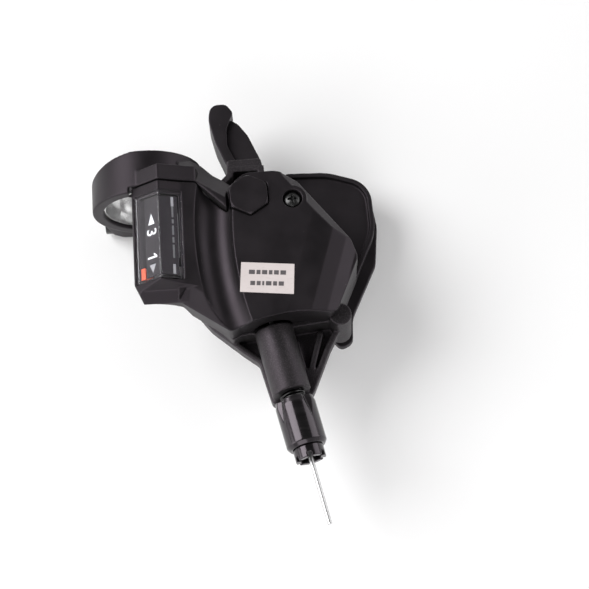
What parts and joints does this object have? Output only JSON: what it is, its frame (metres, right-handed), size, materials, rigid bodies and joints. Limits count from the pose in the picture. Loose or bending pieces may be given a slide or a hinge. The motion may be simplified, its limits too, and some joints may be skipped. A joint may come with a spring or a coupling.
{
  "type": "thumb shifter",
  "caption": "Left-hand trigger shifter for a handlebar: thumb paddle, release lever, gear window, bar clamp and cable barrel adjuster.",
  "frame": {"origin": "centre of the handlebar clamp bore", "axes": "+Y along the handlebar towards the grip, +Z out of the top cover and parallel to the lever axles, +X from the bar to the mechanism"},
  "size_m": [0.0749, 0.1174, 0.0391],
  "materials": {
    "black_plastic": "fine moulded texture, satin",
    "gloss_black": "glossy",
    "clear_lens": "clear",
    "bright_steel": "bright",
    "spring_steel": "drawn wire",
    "black_steel": "black oxide",
    "inner_plastic": "natural",
    "pointer_orange": "satin",
    "paper": "uncoated paper"
  },
  "bodies": {
    "housing": {"top_cover": "black_plastic", "window_lens": "clear_lens", "dial_plate": "black_plastic", "hex_cap": "black_plastic", "cover_screw": "black_steel", "paper_label": "paper", "clamp_bracket": "black_plastic", "clamp_liner": "bright_steel", "clamp_bolt": "black_steel", "clamp_nut": "black_steel", "base_housing": "black_plastic", "case_screws": "black_steel", "main_axle": "bright_steel", "axle_bush": "inner_plastic", "axle_washer": "bright_steel", "axle_clip": "bright_steel", "lever_spring": "spring_steel", "drum_spring": "spring_steel", "release_spring": "spring_steel", "adjuster_spring": "spring_steel"},
    "thumb_lever": {"thumb_paddle": "black_plastic", "paddle_base": "black_plastic", "lever_plate": "bright_steel", "lever_hub": "bright_steel", "pawl_carrier": "bright_steel", "drive_pawl_pin": "bright_steel"},
    "drive_pawl": {"drive_pawl": "bright_steel"},
    "drum": {"cable_drum": "inner_plastic", "cable_head": "bright_steel", "ratchet_wheel": "bright_steel", "drum_gear": "inner_plastic"},
    "pointer": {"pointer_rack": "inner_plastic", "pointer_flag": "pointer_orange"},
    "release_lever": {"release_lever": "black_plastic", "release_pad": "black_plastic", "release_axle": "bright_steel", "release_clip": "bright_steel", "hold_pawl": "bright_steel"},
    "cable": {"inner_cable": "bright_steel"},
    "cable_stop": {"cable_ferrule": "gloss_black"},
    "barrel": {"barrel_adjuster": "gloss_black"}
  },
  "joints": [
    {"name": "thumb_lever_swing", "type": "hinge", "parent": "housing", "child": "thumb_lever", "pos_m": [0.038, -0.0205, -0.008], "axis": [0, 0, 1], "range_deg": [-35, 0]},
    {"name": "drive_pawl_lift", "type": "hinge", "parent": "thumb_lever", "child": "drive_pawl", "pos_m": [0.04737, -0.02682, 0.0084], "axis": [0, 0, 1], "range_deg": [-10, 0]},
    {"name": "drum_turn", "type": "hinge", "parent": "housing", "child": "drum", "pos_m": [0.038, -0.0205, 0.0053], "axis": [0, 0, 1], "range_deg": [-60, 0]},
    {"name": "pointer_slide", "type": "slide", "parent": "housing", "child": "pointer", "axis": [0, 1, 0], "range_m": [0, 0.01467]},
    {"name": "cable_pull", "type": "slide", "parent": "housing", "child": "cable", "axis": [-0.213, 0.977, 0], "range_m": [0, 0.01153]},
    {"name": "release_lever_swing", "type": "hinge", "parent": "housing", "child": "release_lever", "pos_m": [0.027, -0.0076, 0], "axis": [0, 0, 1], "range_deg": [0, 14]},
    {"name": "cable_stop_travel", "type": "slide", "parent": "housing", "child": "cable_stop", "axis": [0.213, -0.977, 0], "range_m": [0, 0.0024]},
    {"name": "barrel_turn", "type": "hinge", "parent": "cable_stop", "child": "barrel", "pos_m": [0.03684, -0.06681, 0.0053], "axis": [0.213, -0.977, 0], "range_deg": [0, 1082]}
  ],
  "couplings": [
    {"joint": "pointer_slide", "follows": "drum_turn", "m_per_rad": -0.014},
    {"joint": "cable_pull", "follows": "drum_turn", "m_per_rad": -0.011},
    {"joint": "barrel_turn", "follows": "cable_stop_travel", "rad_per_m": 7854}
  ]
}
